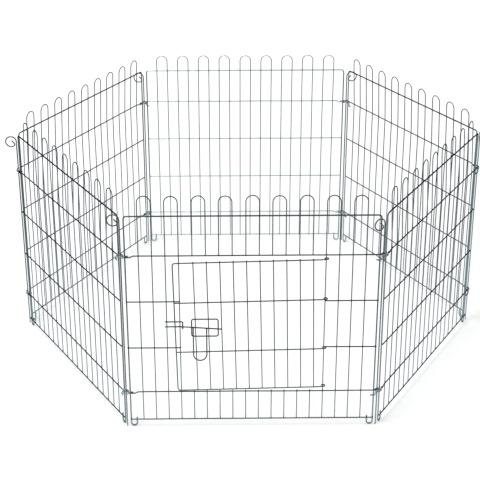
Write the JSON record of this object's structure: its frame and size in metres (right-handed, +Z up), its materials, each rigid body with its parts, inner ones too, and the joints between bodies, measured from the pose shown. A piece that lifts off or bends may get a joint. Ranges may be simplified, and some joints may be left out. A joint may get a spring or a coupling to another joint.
{
  "type": "small animal pen",
  "caption": "Folding wire pen for rabbits: welded panels on corner pins stand in a hexagon, with a hinged door and slide-bolt latch in the front.",
  "frame": {"origin": "on the floor, at the middle of the whole outline with its pin curls; the centre of the hexagon of pins lies 11.7 mm towards +X and 4.0 mm towards +Y from it", "axes": "+Z up; +X to the right along the front panel, seen from outside; the door faces -Y"},
  "size_m": [1.2801, 1.1006, 0.6222],
  "materials": {
    "frame_wire": "bright zinc plating, satin",
    "thin_wire": "bright zinc plating, satin",
    "pin_wire": "zinc plating, slightly duller",
    "latch_wire": "zinc plating, slightly duller"
  },
  "bodies": {
    "front_panel": {"front_frame": "frame_wire", "front_grille": "thin_wire", "front_upper_hinge_rail": "thin_wire", "front_lower_hinge_rail": "thin_wire", "latch_keeper": "latch_wire"},
    "front_right_panel": {"front_right_frame": "frame_wire", "front_right_grille": "thin_wire", "front_right_upper_hinge_rail": "thin_wire", "front_right_lower_hinge_rail": "thin_wire"},
    "back_right_panel": {"back_right_frame": "frame_wire", "back_right_grille": "thin_wire", "back_right_upper_hinge_rail": "thin_wire", "back_right_lower_hinge_rail": "thin_wire"},
    "back_panel": {"back_frame": "frame_wire", "back_grille": "thin_wire", "back_upper_hinge_rail": "thin_wire", "back_lower_hinge_rail": "thin_wire"},
    "back_left_panel": {"back_left_frame": "frame_wire", "back_left_grille": "thin_wire", "back_left_upper_hinge_rail": "thin_wire", "back_left_lower_hinge_rail": "thin_wire"},
    "front_left_panel": {"front_left_frame": "frame_wire", "front_left_grille": "thin_wire", "front_left_upper_hinge_rail": "thin_wire", "front_left_lower_hinge_rail": "thin_wire"},
    "door": {"door_frame": "thin_wire", "door_grille": "thin_wire", "latch_guide": "latch_wire"},
    "bolt": {"latch_bolt": "latch_wire"},
    "handle": {"latch_handle": "latch_wire"},
    "pin_front_left": {"corner_pin_front_left": "pin_wire"},
    "pin_front_right": {"corner_pin_front_right": "pin_wire"},
    "pin_right": {"corner_pin_right": "pin_wire"},
    "pin_back_right": {"corner_pin_back_right": "pin_wire"},
    "pin_back_left": {"corner_pin_back_left": "pin_wire"},
    "pin_left": {"corner_pin_left": "pin_wire"}
  },
  "joints": [
    {"name": "fold", "type": "hinge", "parent": "front_panel", "child": "front_right_panel", "pos_m": [0.3217, -0.53294, 0], "axis": [0, 0, -1], "range_deg": [-30, 48]},
    {"name": "right_corner", "type": "hinge", "parent": "front_right_panel", "child": "back_right_panel", "pos_m": [0.6317, 0.004, 0], "axis": [0, 0, 1], "range_deg": [-60, 96]},
    {"name": "back_right_corner", "type": "hinge", "parent": "back_right_panel", "child": "back_panel", "pos_m": [0.3217, 0.54094, 0], "axis": [0, 0, -1], "range_deg": [-30, 48]},
    {"name": "front_left_corner", "type": "hinge", "parent": "front_panel", "child": "front_left_panel", "pos_m": [-0.2983, -0.53294, 0], "axis": [0, 0, 1], "range_deg": [-30, 48]},
    {"name": "left_corner", "type": "hinge", "parent": "front_left_panel", "child": "back_left_panel", "pos_m": [-0.6083, 0.004, 0], "axis": [0, 0, -1], "range_deg": [-60, 96]},
    {"name": "door_hinge", "type": "hinge", "parent": "front_panel", "child": "door", "pos_m": [0.18538, -0.53409, 0.287], "axis": [0, 0, 1], "range_deg": [0, 160]},
    {"name": "bolt_slide", "type": "slide", "parent": "door", "child": "bolt", "axis": [0.9972, 0, -0.075], "range_m": [0, 0.024]},
    {"name": "handle_lift", "type": "hinge", "parent": "bolt", "child": "handle", "pos_m": [-0.166, -0.53994, 0.2845], "axis": [-0.9972, 0, 0.075], "range_deg": [0, 95]},
    {"name": "pin_front_left_lift", "type": "slide", "parent": "front_left_panel", "child": "pin_front_left", "axis": [0, 0, 1], "range_m": [0, 0.6]},
    {"name": "pin_front_right_lift", "type": "slide", "parent": "front_panel", "child": "pin_front_right", "axis": [0, 0, 1], "range_m": [0, 0.6]},
    {"name": "pin_right_lift", "type": "slide", "parent": "back_right_panel", "child": "pin_right", "axis": [0, 0, 1], "range_m": [0, 0.6]},
    {"name": "pin_back_right_lift", "type": "slide", "parent": "back_right_panel", "child": "pin_back_right", "axis": [0, 0, 1], "range_m": [0, 0.6]},
    {"name": "pin_back_left_lift", "type": "slide", "parent": "back_left_panel", "child": "pin_back_left", "axis": [0, 0, 1], "range_m": [0, 0.6]},
    {"name": "pin_left_lift", "type": "slide", "parent": "front_left_panel", "child": "pin_left", "axis": [0, 0, 1], "range_m": [0, 0.6]}
  ],
  "couplings": [
    {"joint": "right_corner", "follows": "fold", "ratio": 2},
    {"joint": "back_right_corner", "follows": "fold", "ratio": 1},
    {"joint": "front_left_corner", "follows": "fold", "ratio": 1},
    {"joint": "left_corner", "follows": "fold", "ratio": 2}
  ]
}
